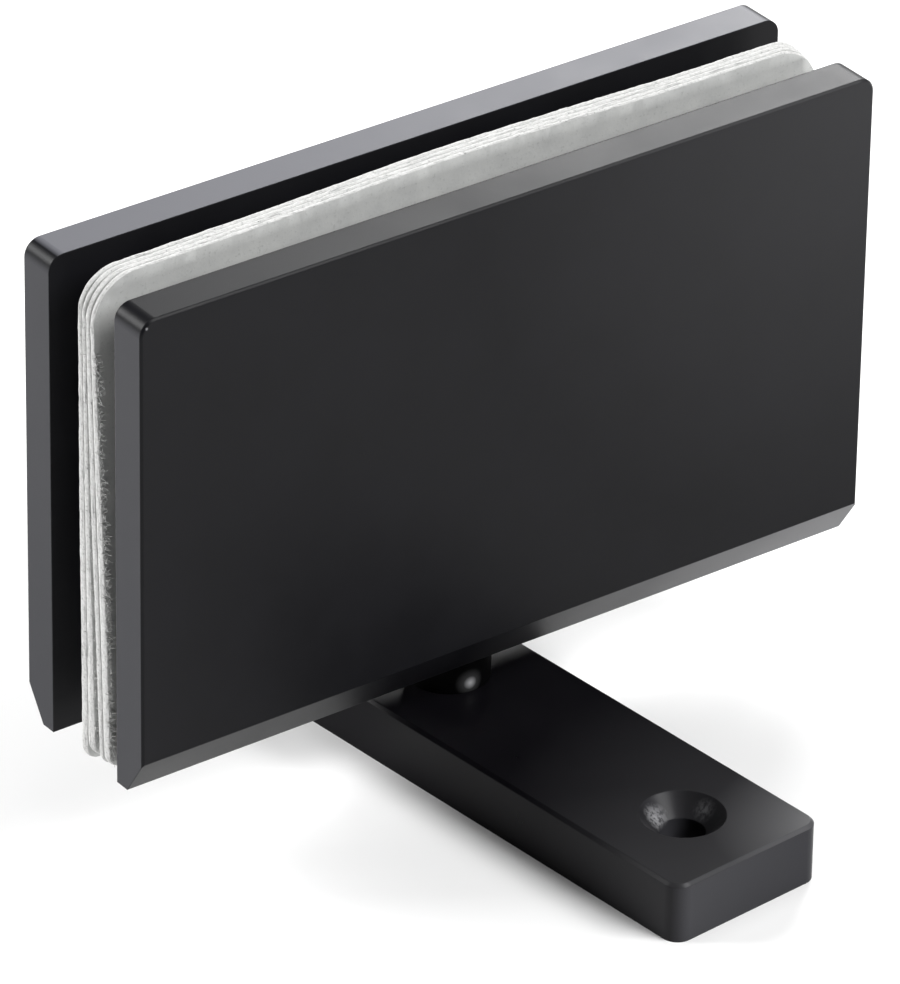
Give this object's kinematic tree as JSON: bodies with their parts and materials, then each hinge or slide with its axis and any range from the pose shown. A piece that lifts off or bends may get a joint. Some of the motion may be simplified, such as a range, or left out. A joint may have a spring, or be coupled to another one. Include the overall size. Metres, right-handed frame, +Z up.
{
  "type": "glass door pivot clamp",
  "caption": "Two flat plates clamp a glass door's edge across a slot with loose gasket sheets. A block between them turns on a spindle that stands on a flat bar with countersunk fixing holes.",
  "frame": {"origin": "on the pivot axis, at the underside of the bar", "axes": "+Z up the pivot axis, +X along the plates, the plain front plate faces -Y"},
  "size_m": [0.1, 0.102, 0.0744],
  "materials": {
    "black_coating": "satin black, fine texture",
    "black_screw": "black oxide",
    "bare_steel": "turned",
    "nylon": "natural",
    "gasket_fibre": "pressed fibre, smooth faces and rough cut edges"
  },
  "bodies": {
    "bar": {"pivot_bar": "black_coating", "spindle": "black_coating", "spindle_screw": "black_screw", "thrust_washer": "bare_steel", "retaining_washer": "bare_steel", "retaining_ring": "bare_steel"},
    "clamp": {"front_plate": "black_coating", "back_plate": "black_coating", "pivot_block": "black_coating", "lower_bush": "nylon", "upper_bush": "nylon", "clamp_screws": "black_screw", "block_screws": "bare_steel", "screw_sleeves": "nylon", "glass_pad": "nylon", "gasket_1": "gasket_fibre", "gasket_2": "gasket_fibre", "gasket_3": "gasket_fibre", "gasket_4": "gasket_fibre"}
  },
  "joints": [
    {"name": "clamp_turn", "type": "hinge", "parent": "bar", "child": "clamp", "pos_m": [0, 0, 0.014], "axis": [0, 0, 1], "continuous": true}
  ]
}
